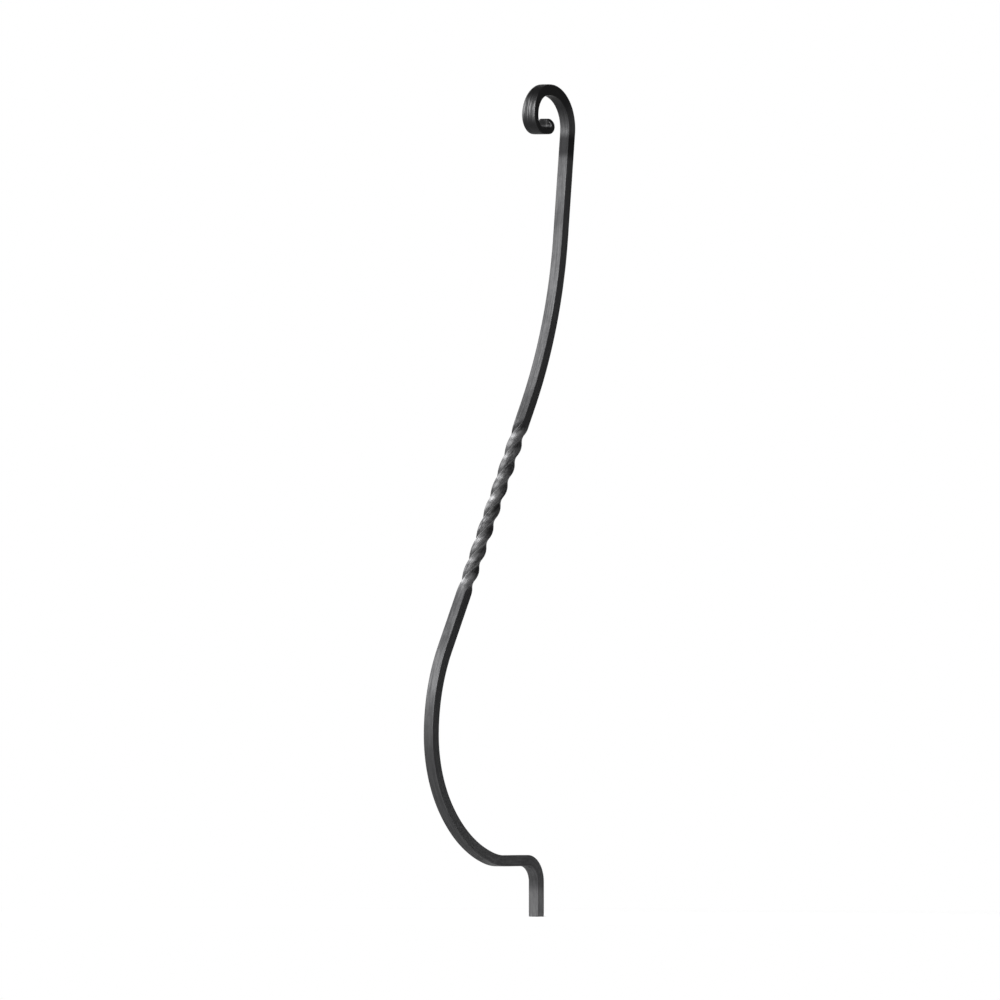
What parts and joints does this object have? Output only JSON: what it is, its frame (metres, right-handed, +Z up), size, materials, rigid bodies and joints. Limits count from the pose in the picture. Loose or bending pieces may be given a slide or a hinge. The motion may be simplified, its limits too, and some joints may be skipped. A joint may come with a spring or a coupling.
{
  "type": "twisted baluster",
  "caption": "Bellied stair baluster forged from square bar, with a cranked foot, a twisted waist and a rolled scroll at the top that ends in a flattened leaf.",
  "frame": {"origin": "centre of the sawn end face of the foot", "axes": "+Z up, along the foot's axis out of its end face; the bar's middle line lies in the XZ plane, the belly swings towards -X and the scroll rolls back towards -X; Y is square to that plane"},
  "size_m": [0.2657, 0.0176, 0.9],
  "materials": {
    "forged_steel": "raw forged steel, satin, with fine lengthwise scale marks"
  },
  "bodies": {
    "root": {"baluster": "forged_steel"}
  },
  "joints": []
}
